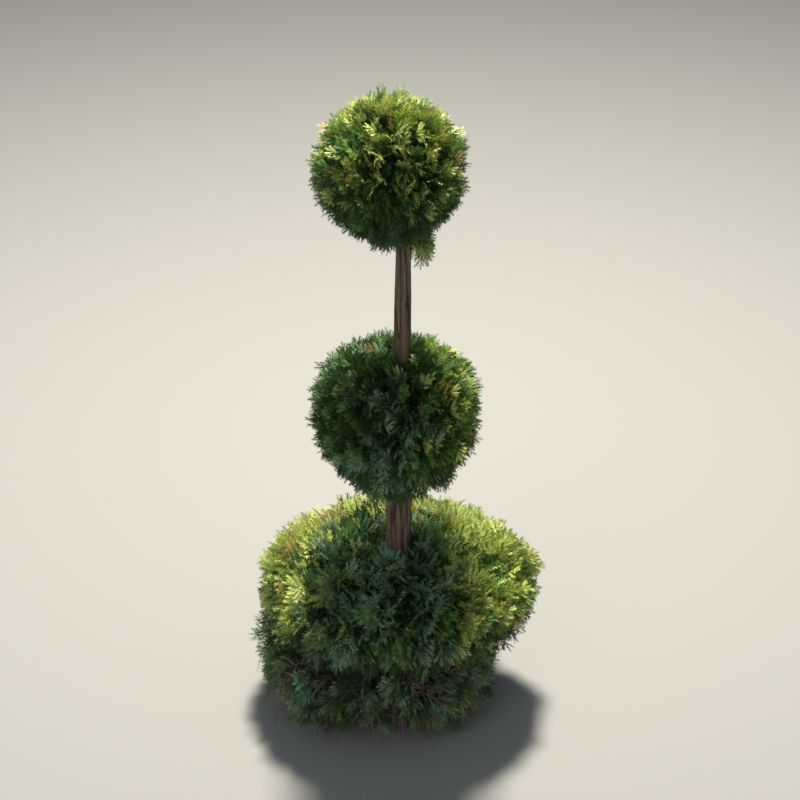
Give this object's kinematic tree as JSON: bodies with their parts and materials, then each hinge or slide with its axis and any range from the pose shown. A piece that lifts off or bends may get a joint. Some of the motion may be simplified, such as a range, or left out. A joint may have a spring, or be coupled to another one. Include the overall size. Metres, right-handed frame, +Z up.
{
  "type": "arborvitae ball topiary",
  "caption": "Field-grown conifer topiary for gardens: clipped foliage balls stacked on a leaning trunk, the lowest broad and loose above low boughs.",
  "frame": {"origin": "middle of the flat cut through the trunk at ground level", "axes": "+Z up along the trunk, -Y towards the side that the picture shows, +X to the right of that view, the way the trunk leans"},
  "size_m": [0.5511, 0.4786, 1.2348],
  "materials": {
    "bark": "grey-brown fibrous bark, matt",
    "clipped_foliage": "dense scale-leaf sprays, yellow-green in the light",
    "skirt_foliage": "loose shaded scale-leaf sprays, some of them dry and brown"
  },
  "bodies": {
    "root": {"trunk": "bark", "top_ball": "clipped_foliage", "middle_ball": "clipped_foliage", "bottom_ball": "clipped_foliage", "low_bough_1": "bark", "low_bough_2": "bark", "low_bough_3": "bark", "low_bough_4": "bark", "low_bough_5": "bark", "low_bough_6": "bark", "skirt_1": "skirt_foliage", "skirt_2": "skirt_foliage", "skirt_3": "skirt_foliage", "skirt_4": "skirt_foliage", "skirt_5": "skirt_foliage", "skirt_6": "skirt_foliage"}
  },
  "joints": []
}
